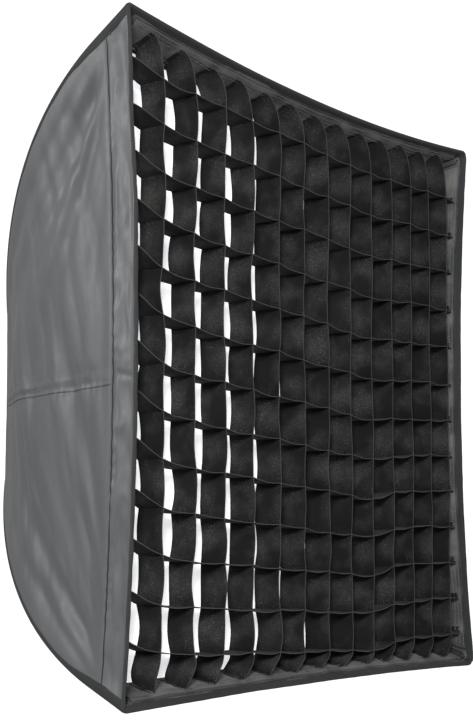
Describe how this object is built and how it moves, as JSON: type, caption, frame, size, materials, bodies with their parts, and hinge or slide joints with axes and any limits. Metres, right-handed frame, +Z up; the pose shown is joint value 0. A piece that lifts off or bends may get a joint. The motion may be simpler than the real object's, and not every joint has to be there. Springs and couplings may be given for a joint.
{
  "type": "square grid softbox",
  "caption": "Square fabric softbox on four rods with a turning bayonet ring, silver lining, inner and front diffusers and a fabric honeycomb grid held by hook-and-loop tape.",
  "frame": {"origin": "on the mount insert's bore axis at its rear seat, where it rests on the lamp head", "axes": "+Y along the bore to the rear, towards the lamp head; the front opening faces -Y; +Z up"},
  "size_m": [0.8028, 0.5048, 0.8028],
  "materials": {
    "shell_nylon": "woven, coated, slightly shiny",
    "silver_lining": "pebbled silver coating",
    "rod_steel": "bright",
    "insert_metal": "turned",
    "zinc_screws": "zinc plated",
    "ring_metal": "satin black",
    "black_plastic": "matt",
    "webbing": "woven tape",
    "loop_tape": "fuzzy loops",
    "hook_tape": "fine hooks",
    "white_diffuser": "translucent, matt",
    "elastic": "knitted",
    "white_nylon": "smooth",
    "grid_fabric": "matt, slightly fuzzy"
  },
  "bodies": {
    "mount_insert": {"bayonet_insert": "insert_metal", "insert_retainer": "insert_metal", "retainer_screws": "zinc_screws"},
    "softbox": {"speed_ring": "ring_metal", "socket_set_screws": "zinc_screws", "rod_top_right": "rod_steel", "rod_bottom_right": "rod_steel", "rod_bottom_left": "rod_steel", "rod_top_left": "rod_steel", "rod_tip_caps": "black_plastic", "corner_pockets": "webbing", "shell_panel_top": "shell_nylon", "shell_panel_bottom": "shell_nylon", "shell_panel_left_lower": "shell_nylon", "shell_panel_left_upper": "shell_nylon", "shell_panel_right_upper": "shell_nylon", "shell_panel_right_lower": "shell_nylon", "lip_top": "shell_nylon", "lip_right": "shell_nylon", "lip_bottom": "shell_nylon", "lip_left": "shell_nylon", "silver_lining_top": "silver_lining", "silver_lining_right": "silver_lining", "silver_lining_bottom": "silver_lining", "silver_lining_left": "silver_lining", "front_edge_binding": "webbing", "rear_edge_binding": "webbing", "grid_loop_tape": "loop_tape", "diffuser_loop_tape": "loop_tape", "inner_baffle": "white_diffuser", "baffle_elastics": "elastic"},
    "brake_pad": {"brake_pad": "white_nylon"},
    "lock_knob": {"lock_stud": "zinc_screws", "lock_knob": "black_plastic"},
    "front_diffuser": {"front_diffuser_cloth": "white_diffuser", "front_diffuser_hook_tape": "hook_tape"},
    "grid": {"grid_vertical_strips": "grid_fabric", "grid_horizontal_strips": "grid_fabric", "grid_hook_tape": "hook_tape", "grid_border": "grid_fabric"}
  },
  "joints": [
    {"name": "ring_turn", "type": "hinge", "parent": "mount_insert", "child": "softbox", "pos_m": [0, 0, 0], "axis": [0, 1, 0], "continuous": true},
    {"name": "brake_pad_slide", "type": "slide", "parent": "softbox", "child": "brake_pad", "axis": [0, 0, -1], "range_m": [0, 0.0025]},
    {"name": "lock_knob_turn", "type": "hinge", "parent": "brake_pad", "child": "lock_knob", "pos_m": [0, -0.0103, -0.1], "axis": [0, 0, 1], "range_deg": [0, 720]},
    {"name": "diffuser_pull", "type": "slide", "parent": "softbox", "child": "front_diffuser", "axis": [0, -1, 0], "range_m": [0, 0.08]},
    {"name": "grid_pull", "type": "slide", "parent": "front_diffuser", "child": "grid", "axis": [0, -1, 0], "range_m": [0, 0.1]}
  ],
  "couplings": [
    {"joint": "brake_pad_slide", "follows": "lock_knob_turn", "m_per_rad": 0.00019894}
  ]
}
